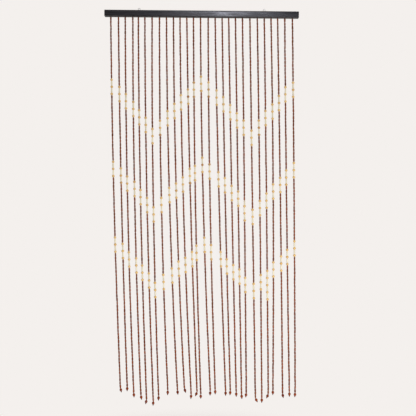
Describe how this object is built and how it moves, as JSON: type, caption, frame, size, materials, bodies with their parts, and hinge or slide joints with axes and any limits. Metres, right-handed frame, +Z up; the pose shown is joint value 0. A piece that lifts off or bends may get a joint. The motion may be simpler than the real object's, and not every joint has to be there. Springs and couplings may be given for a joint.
{
  "type": "bead curtain and hanging bar",
  "caption": "Doorway curtain: strings of wooden beads side by side under a straight wooden bar with two screw eyes, pale round beads in zigzag rows, a turned drop at each foot.",
  "frame": {"origin": "where the curtain hangs: midway between the centres of the two screw eyes' rings", "axes": "+X along the bar to the viewer's right, +Y to the back, +Z up; the front faces -Y"},
  "size_m": [0.9057, 0.0296, 1.8467],
  "materials": {
    "bar_wood": "black stain, satin",
    "eye_metal": "zinc-plated wire",
    "brown_wood": "dark reddish-brown stain, satin",
    "natural_wood": "clear lacquer",
    "ivory_wood": "bleached, satin",
    "drop_wood": "orange-red lacquer",
    "string": "waxed brown thread"
  },
  "bodies": {
    "root": {"header_bar": "bar_wood", "screw_eye_left": "eye_metal", "screw_eye_right": "eye_metal", "strands": "brown_wood", "drop_01": "drop_wood", "drop_02": "drop_wood", "drop_03": "drop_wood", "drop_04": "drop_wood", "drop_05": "drop_wood", "drop_06": "drop_wood", "drop_07": "drop_wood", "drop_08": "drop_wood", "drop_09": "drop_wood", "drop_10": "drop_wood", "drop_11": "drop_wood", "drop_12": "drop_wood", "drop_13": "drop_wood", "drop_14": "drop_wood", "drop_15": "drop_wood", "drop_16": "drop_wood", "drop_17": "drop_wood", "drop_18": "drop_wood", "drop_19": "drop_wood", "drop_20": "drop_wood", "drop_21": "drop_wood", "drop_22": "drop_wood", "drop_23": "drop_wood", "drop_24": "drop_wood", "drop_25": "drop_wood", "drop_26": "drop_wood", "drop_27": "drop_wood"}
  },
  "joints": []
}
